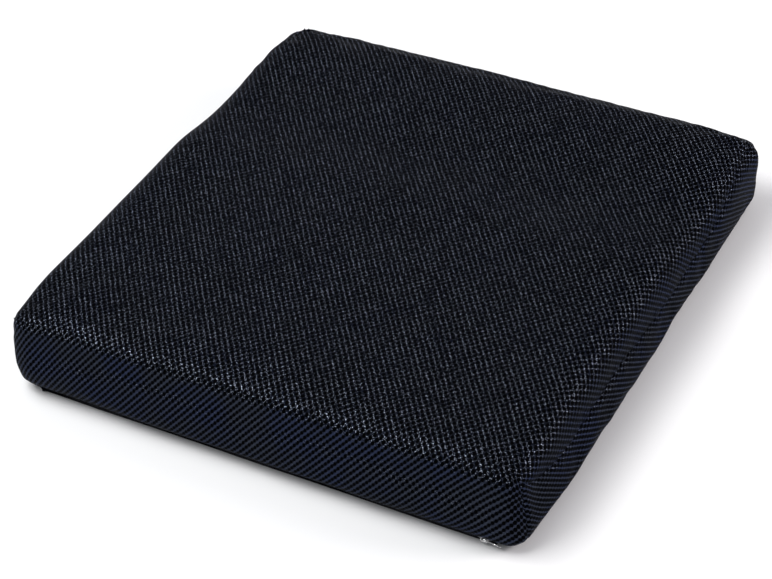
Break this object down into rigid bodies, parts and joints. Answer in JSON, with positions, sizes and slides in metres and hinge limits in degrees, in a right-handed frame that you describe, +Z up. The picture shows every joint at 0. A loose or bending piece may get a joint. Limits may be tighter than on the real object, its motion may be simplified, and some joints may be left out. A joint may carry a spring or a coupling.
{
  "type": "seat cushion",
  "caption": "Square contoured office chair cushion: foam core in a zip-off black air-mesh cover, high at the front, dipped towards the rear, with a sliding zip and hinged pull.",
  "frame": {"origin": "middle of the cushion's footprint, on the surface it lies on", "axes": "+X to the sitter's left-right, across the seat; -Y is the front edge with the zip; +Z is up, through the cushion's thickness"},
  "size_m": [0.408, 0.426, 0.0715],
  "materials": {
    "spacer_mesh": "black three-layer polyester air mesh with small staggered holes",
    "base_fabric": "black woven polyester with rubber grip dots",
    "binding_tape": "black woven binding tape",
    "liner_jersey": "off-white polyester jersey",
    "firm_foam": "firm open-cell polyurethane foam",
    "soft_foam": "soft open-cell polyurethane foam",
    "zip_tape": "black woven zip tape",
    "zip_coil": "black nylon coil",
    "zip_metal": "nickel-plated zinc"
  },
  "bodies": {
    "cushion": {"cover_top_front": "spacer_mesh", "cover_side_right": "spacer_mesh", "cover_side_left": "spacer_mesh", "cover_back": "spacer_mesh", "cover_base": "base_fabric", "seam_binding_top_right": "binding_tape", "seam_binding_top_left": "binding_tape", "seam_binding_top_back": "binding_tape", "seam_binding_base_right": "binding_tape", "seam_binding_base_left": "binding_tape", "seam_binding_base_back": "binding_tape", "seam_binding_corner_front_right": "binding_tape", "seam_binding_corner_front_left": "binding_tape", "seam_binding_corner_rear_right": "binding_tape", "seam_binding_corner_rear_left": "binding_tape", "foam_liner": "liner_jersey", "foam_base_layer": "firm_foam", "foam_comfort_layer": "soft_foam", "zip_tape_upper": "zip_tape", "zip_tape_lower": "zip_tape", "zip_coil_upper": "zip_coil", "zip_coil_lower": "zip_coil", "zip_stop_bottom": "zip_metal", "zip_stop_top_upper": "zip_metal", "zip_stop_top_lower": "zip_metal"},
    "slider": {"zip_slider": "zip_metal"},
    "pull": {"zip_pull": "zip_metal"}
  },
  "joints": [
    {"name": "zip_slide", "type": "slide", "parent": "cushion", "child": "slider", "axis": [-1, 0, 0], "range_m": [0, 0.355]},
    {"name": "pull_hinge", "type": "hinge", "parent": "slider", "child": "pull", "pos_m": [0.178, -0.21015, 0.00465], "axis": [0, 0.6428, -0.766], "range_deg": [-4, 150]}
  ]
}
